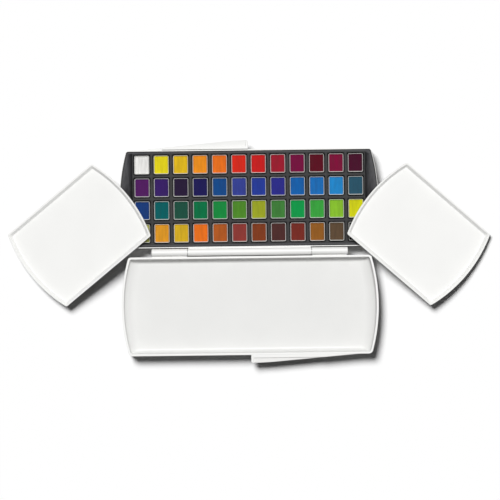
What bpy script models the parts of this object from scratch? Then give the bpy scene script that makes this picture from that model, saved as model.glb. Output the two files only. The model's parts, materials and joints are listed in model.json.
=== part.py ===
"""A watercolour paint box in white plastic, lying open on a table.

The case is two shallow halves of nearly one outline, joined at the back by a barrel hinge on two steel pins.
The base holds a black tray with 48 half pans, each a white cup filled with a cake of paint. Two loose
mixing palettes, which are stored inside the closed lid, lean on the ends of the base.

Lengths are in metres and angles in degrees. +Z is up and the table is z = 0. The hinge runs along X above
the origin, the base lies towards +Y and the open lid towards -Y. Everything is sized from the case: the tray
fills the base, the wells and their pans share out the tray, and the palettes fit the closed lid.
"""

import math

import bmesh
import bpy
from mathutils import Matrix, Vector

# Case halves with bowed ends. The lid is a little shorter and deeper than the base
CASE_LENGTH = 0.2585
CASE_DEPTH = 0.0981
LID_END_STEP = 0.0007
LID_OVERHANG = 0.0008
HALF_HEIGHT = 0.01335
PARTING_GAP = 0.0003
CASE_BOW_RADIUS = 0.1737
FRONT_CORNER_RADIUS = 0.0045
BACK_CORNER_RADIUS = 0.003
BASE_WALL = 0.0019
BASE_EDGE_ROUND = 0.003
LID_WALL = 0.0021
LID_EDGE_ROUND = 0.006
RIM_ROUND = 0.0004

# Pan tray: a black plate with a rib grid that stands on the floor of the base
COLUMNS = 12
ROWS = 4
END_ZONE = 0.0129
SIDE_ZONE = 0.0034
FIELD_RIM = 0.0009
FIELD_RISE = 0.0004
COLUMN_RIB = 0.0022
ROW_RIB = 0.002
TRAY_PLATE = 0.0012
TRAY_DROP = 0.0014
TRAY_CLEARANCE = 0.0003
TRAY_CORNER_RADIUS = 0.0018
TRAY_EDGE_CHAMFER = 0.0003
FRONT_LAND = 0.0016
BACK_LAND = 0.0011
END_LAND = 0.0007

# Half pans and their paint
WELL_CLEARANCE = 0.0009
FOOT_CLEARANCE = 0.0003
PAN_DROP = 0.0005
PAN_WALL = 0.0009
PAN_TAPER = 0.0005
PAN_CORNER = 0.0013
PAINT_DROP = 0.0015
PAINT_EDGE = 0.0006
PAINT_DISH = 0.0004

# Hinge: a long barrel on the base between two knuckles on the lid
BARREL_RADIUS = 0.0037
BARREL_LENGTH = 0.1236
HINGE_GAP = 0.0008
KNUCKLE_LENGTH = 0.036
KNUCKLE_GAP = 0.0004
KNUCKLE_END_ROUND = 0.0011
WEB_DROP = 0.0004
WEB_ROOT = 0.001
WEB_END_INSET = 0.0006
PIN_RADIUS = 0.001
PIN_CLEARANCE = 0.0003
PIN_SEAT = 0.014
PIN_RECESS = 0.0008

# Opening tabs: a tapering ledge on each half, with a lower step along it for a thumbnail
TAB_DEPTH = 0.0088
TAB_THICKNESS = 0.003
TAB_INSET = 0.0003
TAB_END_MARGIN = 0.0198
TAB_DROP = 0.00015
TAB_ROOT = 0.001
TAB_CORNER_RADIUS = 0.0016
TAB_EDGE_ROUND = 0.0004
TAB_BAND = 0.0031
TAB_END_BAND = 0.0026
TAB_STEP = 0.0009
TAB_BEND_SHARE = 0.24
GROOVE_LENGTH = 0.086
GROOVE_WIDTH = 0.0013
GROOVE_DEPTH = 0.0019
GROOVE_BITE = 0.0002

# Mixing palettes, as deep as the lid's inside with some play. They lie one on the other in the closed lid
PALETTE_LENGTH = 0.1274
PALETTE_SIDE_PLAY = 0.0012
PALETTE_BOW_RADIUS = 0.1383
PALETTE_HEIGHT = 0.005
PALETTE_WALL = 0.0016
PALETTE_CORNER_RADIUS = 0.0022
PALETTE_EDGE_ROUND = 0.0034
PALETTE_RIM_ROUND = 0.0003
PALETTE_FLOOR_GAP = 0.0002
PALETTE_RIM_GAP = 0.0003
PALETTE_TURNS = {"left": 39.0, "right": 40.95}
PALETTE_LID_GAPS = {"left": 0.0023, "right": 0.0004}
PALETTE_REACHES = {"left": 0.0323, "right": 0.0331}

# How finely curves are cut, and how far cutters run past what they cut
BOW_STEPS = 14
CORNER_STEPS = 4
EDGE_STEPS = 4
RIM_STEPS = 2
TAB_STEPS = 16
BARREL_SIDES = 24
PIN_SIDES = 16
SOLVER_STEPS = 4
OVERRUN = 0.002
LEAST_RADIUS = 0.0003
WELD_DISTANCE = 0.00001
FLAT_ANGLE = 0.5
SHARP_ANGLE = 50.0

# The grid of wells inside the case, and the pans in it
FIELD_LENGTH = CASE_LENGTH - 2 * END_ZONE
FIELD_DEPTH = CASE_DEPTH - 2 * SIDE_ZONE
COLUMN_PITCH = (FIELD_LENGTH - 2 * FIELD_RIM + COLUMN_RIB) / COLUMNS
ROW_PITCH = (FIELD_DEPTH - 2 * FIELD_RIM + ROW_RIB) / ROWS
WELL_WIDTH = COLUMN_PITCH - COLUMN_RIB
WELL_LENGTH = ROW_PITCH - ROW_RIB
WELL_CORNER = PAN_CORNER + (2 - math.sqrt(2)) * WELL_CLEARANCE
PAN_WIDTH = WELL_WIDTH - 2 * WELL_CLEARANCE
PAN_LENGTH = WELL_LENGTH - 2 * WELL_CLEARANCE

# Places along Y, and the length of a tab from its square end to where it meets the wall
HINGE_SETBACK = BARREL_RADIUS + HINGE_GAP
CASE_MIDDLE = HINGE_SETBACK + CASE_DEPTH / 2
CASE_FRONT = HINGE_SETBACK + CASE_DEPTH
TRAY_MIDDLE = CASE_MIDDLE + (BACK_LAND - FRONT_LAND) / 2
TAB_LENGTH = CASE_LENGTH / 2 - TAB_INSET - TAB_END_MARGIN
TAB_FRONT = CASE_FRONT + TAB_DEPTH

# Sizes of the lid and the palettes, and both outlines: length, depth, bow, back and front corner radius
LID_LENGTH = CASE_LENGTH - 2 * LID_END_STEP
LID_DEPTH = CASE_DEPTH + LID_OVERHANG
PALETTE_DEPTH = LID_DEPTH - 2 * LID_WALL - PALETTE_SIDE_PLAY
BASE_SIZES = (CASE_LENGTH, CASE_DEPTH, CASE_BOW_RADIUS, BACK_CORNER_RADIUS, FRONT_CORNER_RADIUS)
LID_SIZES = (LID_LENGTH, LID_DEPTH, CASE_BOW_RADIUS, BACK_CORNER_RADIUS, FRONT_CORNER_RADIUS)

# Heights, measured from the hinge axis in the parting plane
RIM = -PARTING_GAP / 2
BASE_FLOOR = BASE_WALL - HALF_HEIGHT
PAN_FOOT = BASE_FLOOR + FOOT_CLEARANCE
PAN_TOP = RIM - PAN_DROP
PAN_HEIGHT = PAN_TOP - PAN_FOOT
PLATE_TOP = RIM - TRAY_DROP

# The paints in reading order from the front left pan, as names and sRGB colours chosen by eye
PAINTS = (
    (
        ("opaque_white", "F2F1EE"),
        ("lemon_yellow", "E8D81C"),
        ("warm_yellow", "E6BE1E"),
        ("yellow_orange", "F29420"),
        ("bright_orange", "EE7420"),
        ("vermilion", "DC2C1C"),
        ("scarlet", "CE2020"),
        ("crimson", "A01C30"),
        ("magenta_lake", "780C40"),
        ("madder_lake", "5C0C20"),
        ("rose_magenta", "80103A"),
        ("plum", "480E2A"),
    ),
    (
        ("purple_lake", "541C62"),
        ("deep_violet", "3A2068"),
        ("aubergine", "281A38"),
        ("indigo", "1E1A56"),
        ("prussian_blue", "164C8C"),
        ("cobalt_blue", "384498"),
        ("ultramarine", "283E9C"),
        ("ultramarine_deep", "2E2E8C"),
        ("cerulean_blue", "1664B0"),
        ("azure_blue", "1E70BA"),
        ("sky_blue", "248ACE"),
        ("slate_teal", "2C566A"),
    ),
    (
        ("marine_blue", "1A3E7E"),
        ("turquoise", "046264"),
        ("forest_green", "1E5242"),
        ("deep_green", "067446"),
        ("bright_green", "188E42"),
        ("leaf_green", "528E2C"),
        ("olive_yellow", "A0AA28"),
        ("sap_green", "42823C"),
        ("emerald_green", "109C4C"),
        ("spring_green", "3CA642"),
        ("lime_green", "8CC432"),
        ("yellow_green", "D8D81A"),
    ),
    (
        ("pale_olive", "B4B464"),
        ("gold_ochre", "E29C28"),
        ("yellow_ochre", "D8B024"),
        ("burnt_orange", "EC7420"),
        ("raw_sienna", "B45C24"),
        ("english_red", "923C36"),
        ("burnt_sienna", "843E20"),
        ("dark_umber", "502E2C"),
        ("venetian_red", "7A2E24"),
        ("golden_brown", "986024"),
        ("raw_umber", "604C38"),
        ("ivory_black", "1C1A1A"),
    ),
)


def clear_scene():
    """Remove every object, then make the collection of parts and the collection of cutters."""
    for obj in list(bpy.data.objects):
        bpy.data.objects.remove(obj)
    collections = []
    for name in ("watercolor_paint_box", "cutters"):
        collection = bpy.data.collections.new(name)
        bpy.context.scene.collection.children.link(collection)
        collections.append(collection)
    return collections


def linear_colour(code):
    """Linear RGBA of a six-digit sRGB colour."""
    channels = [int(code[i : i + 2], 16) / 255 for i in (0, 2, 4)]
    linear = [c / 12.92 if c <= 0.04045 else ((c + 0.055) / 1.055) ** 2.4 for c in channels]
    return (*linear, 1.0)


def finish(name, code, roughness, metallic=0.0):
    """A Principled material of one plain colour."""
    material = bpy.data.materials.new(name)
    material.use_nodes = True
    shader = material.node_tree.nodes["Principled BSDF"]
    shader.inputs["Base Color"].default_value = linear_colour(code)
    shader.inputs["Roughness"].default_value = roughness
    shader.inputs["Metallic"].default_value = metallic
    material.diffuse_color = linear_colour(code)
    return material


def arc_points(centre, radius, start, end, steps):
    """Points along an arc, with both of its ends."""
    angles = [start + (end - start) * i / steps for i in range(steps + 1)]
    return [Vector((centre[0] + radius * math.cos(a), centre[1] + radius * math.sin(a))) for a in angles]


def bow_height(depth, bow_radius):
    """How far the middle of a bowed end stands out beyond its corners."""
    return bow_radius - math.sqrt(bow_radius**2 - (depth / 2) ** 2)


def corner_arc(length, depth, bow_radius, radius):
    """Centre of the arc that rounds a corner of a bowed outline, and the angle at which the bow begins."""
    reach = bow_radius - radius
    rise = depth / 2 - radius
    return length / 2 - bow_radius + math.sqrt(reach**2 - rise**2), rise, math.asin(rise / reach)


def bowed_outline(length, depth, bow_radius, near_radius, far_radius):
    """Closed outline about the origin, straight along X, with both X ends bowed outwards.

    near_radius rounds the two corners towards -Y, and far_radius the two towards +Y.
    """
    bow_centre = length / 2 - bow_radius
    near_x, near_y, near_angle = corner_arc(length, depth, bow_radius, near_radius)
    far_x, far_y, far_angle = corner_arc(length, depth, bow_radius, far_radius)
    end = arc_points((near_x, -near_y), near_radius, -math.pi / 2, -near_angle, CORNER_STEPS)
    end += arc_points((bow_centre, 0), bow_radius, -near_angle, far_angle, BOW_STEPS)[1:]
    end += arc_points((far_x, far_y), far_radius, far_angle, math.pi / 2, CORNER_STEPS)[1:]
    return end + [Vector((-point.x, point.y)) for point in reversed(end)]


def inset_outline(sizes, inset):
    """The bowed outline of these sizes moved inwards, with corners that shrink but never vanish."""
    length, depth, bow_radius, near_radius, far_radius = sizes
    return bowed_outline(
        length - 2 * inset,
        depth - 2 * inset,
        bow_radius - inset,
        max(near_radius - inset, LEAST_RADIUS),
        max(far_radius - inset, LEAST_RADIUS),
    )


def new_object(name, bm, collection):
    """Turn a bmesh into an object with outward faces, and free the bmesh."""
    bmesh.ops.recalc_face_normals(bm, faces=bm.faces)
    mesh = bpy.data.meshes.new(name)
    bm.to_mesh(mesh)
    bm.free()
    obj = bpy.data.objects.new(name, mesh)
    collection.objects.link(obj)
    return obj


def slab(name, outline, low, high, collection):
    """A prism between two heights over a flat outline, drawn as a filled curve and welded."""
    curve = bpy.data.curves.new(name, "CURVE")
    curve.dimensions = "2D"
    curve.fill_mode = "BOTH"
    curve.extrude = (high - low) / 2
    spline = curve.splines.new("POLY")
    spline.points.add(len(outline) - 1)
    for point, place in zip(spline.points, outline):
        point.co = (place[0], place[1], 0, 1)
    spline.use_cyclic_u = True
    drawn = bpy.data.objects.new(name, curve)
    drawn.location.z = (low + high) / 2
    collection.objects.link(drawn)
    bpy.context.view_layer.update()
    mesh = bpy.data.meshes.new_from_object(drawn.evaluated_get(bpy.context.evaluated_depsgraph_get()))
    bm = bmesh.new()
    bm.from_mesh(mesh)
    bmesh.ops.transform(bm, matrix=drawn.matrix_world, verts=bm.verts)
    bmesh.ops.remove_doubles(bm, verts=bm.verts, dist=WELD_DISTANCE)
    bmesh.ops.dissolve_limit(bm, angle_limit=math.radians(FLAT_ANGLE), verts=bm.verts, edges=bm.edges)
    bpy.data.objects.remove(drawn)
    bpy.data.curves.remove(curve)
    bpy.data.meshes.remove(mesh)
    return new_object(name, bm, collection)


def block(name, corners, collection):
    """A box between two opposite corners."""
    low, high = (Vector(corner) for corner in corners)
    bm = bmesh.new()
    size = Matrix.Diagonal((high - low).to_4d())
    bmesh.ops.create_cube(bm, size=1, matrix=Matrix.Translation((low + high) / 2) @ size)
    return new_object(name, bm, collection)


def rod(name, radius, start, end, sides, collection):
    """A cylinder along X on the hinge axis."""
    bm = bmesh.new()
    place = Matrix.Translation(((start + end) / 2, 0, 0)) @ Matrix.Rotation(math.pi / 2, 4, "Y")
    bmesh.ops.create_cone(
        bm, cap_ends=True, segments=sides, radius1=radius, radius2=radius, depth=end - start, matrix=place
    )
    return new_object(name, bm, collection)


def round_end(obj, sign, width):
    """Round the edge of a rod's end face, on the side that the sign gives."""
    bm = bmesh.new()
    bm.from_mesh(obj.data)
    face = max(bm.faces, key=lambda f: sign * f.calc_center_median().x)
    bmesh.ops.bevel(
        bm, geom=list(face.edges), offset=width, segments=RIM_STEPS, profile=0.5, affect="EDGES"
    )
    bm.to_mesh(obj.data)
    bm.free()


def cut_corner_box(bm, middle, size, low, high, corner, taper=0.0):
    """Add an upright box with cut corners to bm, narrower at its foot by the taper on each side."""
    made = bmesh.ops.create_cube(
        bm,
        size=1,
        matrix=Matrix.Translation((*middle, (low + high) / 2)) @ Matrix.Diagonal((*size, high - low, 1)),
    )
    edges = {edge for vert in made["verts"] for edge in vert.link_edges}
    upright = [edge for edge in edges if abs(edge.verts[0].co.z - edge.verts[1].co.z) > (high - low) / 2]
    cut = bmesh.ops.bevel(bm, geom=upright, offset=corner, segments=1, affect="EDGES")
    for vert in cut["verts"]:
        if vert.co.z < (low + high) / 2:
            vert.co.x += (middle[0] - vert.co.x) * 2 * taper / size[0]
            vert.co.y += (middle[1] - vert.co.y) * 2 * taper / size[1]


def rounded_block(name, sizes, inset, middle, low, high, edge_round, collection):
    """A solid over an inset outline whose bottom edge is rounded, lofted because the outline changes."""
    rings = []
    for i in range(EDGE_STEPS + 1):
        angle = math.pi / 2 * i / EDGE_STEPS
        step_in = edge_round * (1 - math.sin(angle))
        rings.append((inset_outline(sizes, inset + step_in), low + edge_round * (1 - math.cos(angle))))
    rings.append((inset_outline(sizes, inset), high))
    bm = bmesh.new()
    loops = [[bm.verts.new((x, middle + y, height)) for x, y in ring] for ring, height in rings]
    bm.faces.new(loops[0])
    bm.faces.new(loops[-1])
    for lower, upper in zip(loops, loops[1:]):
        for i in range(len(lower)):
            bm.faces.new((lower[i - 1], lower[i], upper[i], upper[i - 1]))
    return new_object(name, bm, collection)


def moulding(name, sizes, middle, low, high, edge_round, wall, rim_round, parts, cutters):
    """An open-topped moulding of even wall, with a rounded bottom edge and a softened rim."""
    body = rounded_block(name, sizes, 0, middle, low, high, edge_round, parts)
    inner_round = max(edge_round - wall / 2, LEAST_RADIUS)
    hollow = rounded_block(
        name + "_hollow", sizes, wall, middle, low + wall, high + OVERRUN, inner_round, cutters
    )
    combine(body, hollow, "DIFFERENCE")
    soften(body, "rim", rim_round, RIM_STEPS)
    return body


def soften(obj, name, width, steps):
    """Round the sharp edges of an object with a Bevel modifier."""
    bevel = obj.modifiers.new(name, "BEVEL")
    bevel.limit_method = "ANGLE"
    bevel.angle_limit = math.radians(SHARP_ANGLE)
    bevel.width = width
    bevel.segments = steps


def combine(obj, tool, operation):
    """Join or cut obj with a tool, which then follows it as a hidden child."""
    boolean = obj.modifiers.new(tool.name, "BOOLEAN")
    boolean.operation = operation
    boolean.solver = "EXACT"
    boolean.object = tool
    tool.parent = obj
    tool.hide_render = True
    tool.display_type = "WIRE"


def smooth(obj):
    """Shade round faces smooth and keep the hard edges."""
    obj.data.shade_smooth()
    obj.data.set_sharp_from_angle(angle=math.radians(SHARP_ANGLE))


def tab_swell(along):
    """Share of its depth that the tab has at a share of its length: level at first, then a straight taper."""
    steepness = 1 / (1 - TAB_BEND_SHARE / 2)
    if along < TAB_BEND_SHARE:
        return 1 - steepness * along**2 / (2 * TAB_BEND_SHARE)
    return 1 - steepness * (along - TAB_BEND_SHARE / 2)


def add_tab(half, front, has_groove, cutters):
    """Add the opening tab to the left of a case half's front wall, seen from the hinge."""
    top = RIM - TAB_DROP
    corner_middle = (-TAB_INSET - TAB_CORNER_RADIUS, TAB_FRONT - TAB_CORNER_RADIUS)
    outline = [Vector((-TAB_INSET, front - TAB_ROOT))]
    outline += arc_points(corner_middle, TAB_CORNER_RADIUS, 0, math.pi / 2, CORNER_STEPS)
    for i in range(1, TAB_STEPS + 1):
        along = i / TAB_STEPS
        swell = (TAB_FRONT - front) * tab_swell(along)
        outline.append(Vector((-TAB_INSET - TAB_LENGTH * along, front + swell)))
    outline.append(Vector((-TAB_INSET - TAB_LENGTH, front - TAB_ROOT)))
    tab = slab(half.name + "_tab", outline, top - TAB_THICKNESS, top, cutters)
    soften(tab, "edge", TAB_EDGE_ROUND, 1)
    combine(half, tab, "UNION")

    step = block(
        half.name + "_step",
        (
            (-TAB_INSET - TAB_LENGTH - OVERRUN, front + TAB_BAND, top - TAB_STEP),
            (-TAB_INSET - TAB_END_BAND, TAB_FRONT + OVERRUN, top + OVERRUN),
        ),
        cutters,
    )
    combine(half, step, "DIFFERENCE")

    if has_groove:
        groove = block(
            half.name + "_groove",
            (
                (-TAB_INSET - GROOVE_LENGTH, front - GROOVE_BITE, top - GROOVE_DEPTH),
                (0, front - GROOVE_BITE + GROOVE_WIDTH, top + OVERRUN),
            ),
            cutters,
        )
        combine(half, groove, "DIFFERENCE")


def add_web(half, name, start, end, cutters):
    """Join a stretch of the hinge to the back wall of its half, a little short of the stretch's ends."""
    web = block(
        name,
        (
            (start + WEB_END_INSET, 0, WEB_DROP - BARREL_RADIUS),
            (end - WEB_END_INSET, HINGE_SETBACK + WEB_ROOT, RIM - WEB_DROP),
        ),
        cutters,
    )
    combine(half, web, "UNION")


def bore_pins(half, cutters):
    """Drill both pin bores: blind in the barrel, and right through the knuckles' outer ends."""
    start = BARREL_LENGTH / 2 - PIN_SEAT
    end = BARREL_LENGTH / 2 + KNUCKLE_GAP + KNUCKLE_LENGTH + OVERRUN
    for side, low, high in (("left", -end, -start), ("right", start, end)):
        bore = rod(
            half.name + "_bore_" + side, PIN_RADIUS + PIN_CLEARANCE, low, high, PIN_SIDES, cutters
        )
        combine(half, bore, "DIFFERENCE")


def case_half(name, sizes, wall, edge_round, parts, cutters):
    """One half of the case, open upwards, with its back wall along the hinge axis."""
    middle = HINGE_SETBACK + sizes[1] / 2
    half = moulding(
        name, sizes, middle, -HALF_HEIGHT, RIM, edge_round, wall, RIM_ROUND, parts, cutters
    )
    half.location.z = HALF_HEIGHT
    return half


def tray_outline(margin):
    """Outline of the tray's opening in the rim of the base, moved inwards by a margin."""
    sizes = (
        CASE_LENGTH - 2 * END_LAND,
        CASE_DEPTH - FRONT_LAND - BACK_LAND,
        CASE_BOW_RADIUS - END_LAND,
        TRAY_CORNER_RADIUS + TRAY_CLEARANCE,
        TRAY_CORNER_RADIUS + TRAY_CLEARANCE,
    )
    return [point + Vector((0, TRAY_MIDDLE)) for point in inset_outline(sizes, margin)]


def make_base(material, parts, cutters):
    """The half that holds the paints, with the long hinge barrel and the left tab."""
    base = case_half("base_case", BASE_SIZES, BASE_WALL, BASE_EDGE_ROUND, parts, cutters)
    barrel_end = BARREL_LENGTH / 2
    add_web(base, "base_web", -barrel_end, barrel_end, cutters)
    barrel = rod("base_barrel", BARREL_RADIUS, -barrel_end, barrel_end, BARREL_SIDES, cutters)
    combine(base, barrel, "UNION")
    add_tab(base, CASE_FRONT, True, cutters)
    ledge = PLATE_TOP - TRAY_PLATE - TRAY_CLEARANCE
    combine(base, slab("tray_opening", tray_outline(0), ledge, OVERRUN, cutters), "DIFFERENCE")
    bore_pins(base, cutters)
    base.data.materials.append(material)
    smooth(base)


def make_lid(material, parts, cutters):
    """The half that covers the paints, turned half a circle so that it lies open beyond the hinge."""
    lid = case_half("lid_case", LID_SIZES, LID_WALL, LID_EDGE_ROUND, parts, cutters)
    lid.rotation_euler.z = math.pi
    start = BARREL_LENGTH / 2 + KNUCKLE_GAP
    end = start + KNUCKLE_LENGTH
    for side, sign in (("left", -1), ("right", 1)):
        low, high = sorted((sign * start, sign * end))
        web_low, web_high = sorted((sign * start, sign * (end - KNUCKLE_END_ROUND)))
        add_web(lid, "lid_web_" + side, web_low, web_high, cutters)
        knuckle = rod("lid_knuckle_" + side, BARREL_RADIUS, low, high, BARREL_SIDES, cutters)
        round_end(knuckle, sign, KNUCKLE_END_ROUND)
        combine(lid, knuckle, "UNION")
    add_tab(lid, HINGE_SETBACK + LID_DEPTH, False, cutters)
    bore_pins(lid, cutters)
    lid.data.materials.append(material)
    smooth(lid)


def make_pins(material, parts):
    """The two steel pins, pushed through the lid's knuckles and seated in the barrel."""
    start = BARREL_LENGTH / 2 - PIN_SEAT + PIN_CLEARANCE
    end = BARREL_LENGTH / 2 + KNUCKLE_GAP + KNUCKLE_LENGTH - PIN_RECESS
    for side, low, high in (("left", -end, -start), ("right", start, end)):
        pin = rod("hinge_pin_" + side, PIN_RADIUS, low, high, PIN_SIDES, parts)
        pin.location.z = HALF_HEIGHT
        pin.data.materials.append(material)
        smooth(pin)


def pan_place(column, row):
    """Middle of a pan. Row 0 is at the front of the base, farthest from the hinge."""
    x = (column - (COLUMNS - 1) / 2) * COLUMN_PITCH
    y = CASE_MIDDLE + ((ROWS - 1) / 2 - row) * ROW_PITCH
    return x, y


def make_tray(material, parts, cutters):
    """The black tray: a flat plate, and a rib grid whose wells go through to the floor of the base."""
    tray = slab("pan_tray", tray_outline(TRAY_CLEARANCE), PLATE_TOP - TRAY_PLATE, PLATE_TOP, parts)
    soften(tray, "edge", TRAY_EDGE_CHAMFER, 1)
    tray.location.z = HALF_HEIGHT
    grid = block(
        "rib_grid",
        (
            (-FIELD_LENGTH / 2, CASE_MIDDLE - FIELD_DEPTH / 2, PAN_FOOT),
            (FIELD_LENGTH / 2, CASE_MIDDLE + FIELD_DEPTH / 2, PLATE_TOP + FIELD_RISE),
        ),
        cutters,
    )
    combine(tray, grid, "UNION")
    bm = bmesh.new()
    for row in range(ROWS):
        for column in range(COLUMNS):
            place = pan_place(column, row)
            cut_corner_box(bm, place, (WELL_WIDTH, WELL_LENGTH), PAN_FOOT - OVERRUN, OVERRUN, WELL_CORNER)
    combine(tray, new_object("pan_wells", bm, cutters), "DIFFERENCE")
    tray.data.materials.append(material)


def make_half_pan(name, code, place, cup_material, parts):
    """A white cup, narrower at its foot, filled with a cake of paint to a little below its rim."""
    bm = bmesh.new()
    cut_corner_box(bm, (0, 0), (PAN_WIDTH, PAN_LENGTH), PAN_FOOT, PAN_TOP, PAN_CORNER, PAN_TAPER)
    top = max(bm.faces, key=lambda face: face.calc_center_median().z)
    bmesh.ops.inset_region(bm, faces=[top], thickness=PAN_WALL)
    inner_lean = PAINT_DROP * PAN_TAPER / PAN_HEIGHT
    bmesh.ops.inset_region(bm, faces=[top], thickness=inner_lean, depth=-PAINT_DROP)
    climb = bmesh.ops.inset_region(bm, faces=[top], thickness=PAINT_EDGE, depth=-PAINT_DISH)["faces"]
    for face in [top, *climb]:
        face.material_index = 1
    pan = new_object("half_pan_" + name, bm, parts)
    pan.location = (*place, HALF_HEIGHT)
    pan.data.materials.append(cup_material)
    pan.data.materials.append(finish("paint_" + name, code, 0.45))


def palette_middle(side, sign):
    """Middle of a leaning palette in plan.

    Its long inner edge passes the lid's rounded back corner at a small gap, and its inner corner reaches
    a stated way past that corner, over the base.
    """
    turn = math.radians(PALETTE_TURNS[side])
    inwards = Vector((-sign * math.cos(turn), math.sin(turn)))
    across = Vector((sign * math.sin(turn), math.cos(turn)))
    corner_x, corner_y, _ = corner_arc(LID_LENGTH, LID_DEPTH, CASE_BOW_RADIUS, BACK_CORNER_RADIUS)
    lid_corner = Vector((sign * corner_x, corner_y - HINGE_SETBACK - LID_DEPTH / 2))
    half_edge = PALETTE_LENGTH / 2 - bow_height(PALETTE_DEPTH, PALETTE_BOW_RADIUS)
    offset = BACK_CORNER_RADIUS + PALETTE_LID_GAPS[side] + PALETTE_DEPTH / 2
    return lid_corner + across * offset + inwards * (PALETTE_REACHES[side] - half_edge)


def lean_palette(palette, sizes, side, sign):
    """Lean a palette on the end wall of the base, with its outermost corner on the table.

    It balances about the line from that corner through its own middle, which runs nearly along X, so it
    touches the bowed end wall where that line crosses it, and it slopes square to the wall there.
    """
    middle = palette_middle(side, sign)
    bow_centre = Vector((sign * (CASE_LENGTH / 2 - CASE_BOW_RADIUS), CASE_MIDDLE))
    behind = middle.y - bow_centre.y
    contact = Vector((bow_centre.x + sign * math.sqrt(CASE_BOW_RADIUS**2 - behind**2), middle.y))
    uphill = (bow_centre - contact).normalized()
    turn = sign * math.radians(-PALETTE_TURNS[side])
    spin = Matrix.Rotation(turn, 2)
    below = -min((spin @ point).dot(uphill) for point in inset_outline(sizes, PALETTE_EDGE_ROUND))
    above = (contact - middle).dot(uphill)
    rise = HALF_HEIGHT + RIM + PALETTE_RIM_GAP - PALETTE_FLOOR_GAP
    tilt = 0.0
    for _ in range(SOLVER_STEPS):
        tilt = math.atan(rise / (above + below * math.cos(tilt)))
    level_axis = Vector((uphill.y, -uphill.x, 0))
    place = Vector((*middle, PALETTE_FLOOR_GAP + below * math.sin(tilt)))
    turned = Matrix.Rotation(tilt, 4, level_axis) @ Matrix.Rotation(turn, 4, "Z")
    palette.matrix_world = Matrix.Translation(place) @ turned


def make_palette(side, sign, material, parts, cutters):
    """A shallow mixing palette with bowed ends, shaped to lie in the closed lid beside its twin."""
    sizes = (
        PALETTE_LENGTH,
        PALETTE_DEPTH,
        PALETTE_BOW_RADIUS,
        PALETTE_CORNER_RADIUS,
        PALETTE_CORNER_RADIUS,
    )
    palette = moulding(
        "palette_" + side, sizes, 0, 0, PALETTE_HEIGHT, PALETTE_EDGE_ROUND, PALETTE_WALL,
        PALETTE_RIM_ROUND, parts, cutters,
    )
    lean_palette(palette, sizes, side, sign)
    palette.data.materials.append(material)
    smooth(palette)


def build():
    """Make every piece of the box."""
    parts, cutters = clear_scene()
    white = finish("white_case_plastic", "F3F3F1", 0.35)
    palette_white = finish("palette_plastic", "F6F6F4", 0.3)
    black = finish("black_tray_plastic", "2A2A2C", 0.55)
    cup_white = finish("pan_plastic", "EFEFEC", 0.4)
    steel = finish("pin_steel", "B8B8BA", 0.3, 1.0)

    make_base(white, parts, cutters)
    make_lid(white, parts, cutters)
    make_pins(steel, parts)
    make_tray(black, parts, cutters)
    for row, paints in enumerate(PAINTS):
        for column, (name, code) in enumerate(paints):
            make_half_pan(name, code, pan_place(column, row), cup_white, parts)
    make_palette("left", -1, palette_white, parts, cutters)
    make_palette("right", 1, palette_white, parts, cutters)


build()
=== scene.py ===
# %% [markdown]
# # A watercolour paint box, opened flat
#
# A white plastic box lies open on a table. Its base holds 48 little cups of paint in a black tray, its lid
# lies beyond the hinge, and two loose mixing palettes lean on its ends. The solid model of the box comes in
# from outside as a fixed frame, in metres. It is right in size but faceted, so each cell below dresses one
# piece of it with a finer skin and a real finish. We load the frame first and note the box that it fills.

import json
import math

import bmesh
import bpy
import numpy as np
from mathutils import Matrix, Vector, noise

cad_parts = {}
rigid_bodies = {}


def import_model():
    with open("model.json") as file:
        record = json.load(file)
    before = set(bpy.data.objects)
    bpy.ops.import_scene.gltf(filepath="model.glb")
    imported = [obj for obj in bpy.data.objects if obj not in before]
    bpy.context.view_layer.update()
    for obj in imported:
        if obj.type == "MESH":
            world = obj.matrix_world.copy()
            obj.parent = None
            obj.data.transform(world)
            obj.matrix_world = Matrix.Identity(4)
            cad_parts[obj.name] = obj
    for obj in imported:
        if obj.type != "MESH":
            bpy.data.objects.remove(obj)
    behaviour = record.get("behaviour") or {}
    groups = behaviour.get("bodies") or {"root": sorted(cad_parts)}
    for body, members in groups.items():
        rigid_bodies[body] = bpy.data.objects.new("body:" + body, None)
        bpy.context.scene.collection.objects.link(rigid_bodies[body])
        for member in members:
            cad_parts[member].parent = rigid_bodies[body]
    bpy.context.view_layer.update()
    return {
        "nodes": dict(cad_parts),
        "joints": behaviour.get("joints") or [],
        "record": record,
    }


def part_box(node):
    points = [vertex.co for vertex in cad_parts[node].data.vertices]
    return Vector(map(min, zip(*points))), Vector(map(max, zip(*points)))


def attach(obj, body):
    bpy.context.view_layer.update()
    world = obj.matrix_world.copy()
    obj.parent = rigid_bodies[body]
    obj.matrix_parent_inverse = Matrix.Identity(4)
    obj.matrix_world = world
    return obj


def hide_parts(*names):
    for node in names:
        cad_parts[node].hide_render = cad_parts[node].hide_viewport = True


for obj in list(bpy.data.objects):
    bpy.data.objects.remove(obj)
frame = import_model()
scene = bpy.context.scene
MM = 0.001

# %% [markdown]
# ## Measuring the frame
#
# A skin that is drawn at typed places drifts away from its solid as soon as somebody moves it. So the places
# are read from the frame: the hinge axis from its joint, and the size of the case from the box of its base.
# Only what no box can tell, such as walls and corner radii, is typed here, in millimetres times MM.

# %% Measure the case
hinge = next(joint for joint in frame["joints"] if joint["type"] == "hinge")
axis_height = hinge["pos_m"][2]
base_low, base_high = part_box("base_case")
lid_low, lid_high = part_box("lid_case")

TAB_DEPTH = 8.8 * MM
LID_OVERHANG = 0.8 * MM
HINGE_GAP = 0.8 * MM
CASE_BOW_RADIUS = 173.7 * MM
BACK_CORNER = 3 * MM
FRONT_CORNER = 4.5 * MM
RIM_DROP = 0.15 * MM

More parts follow.
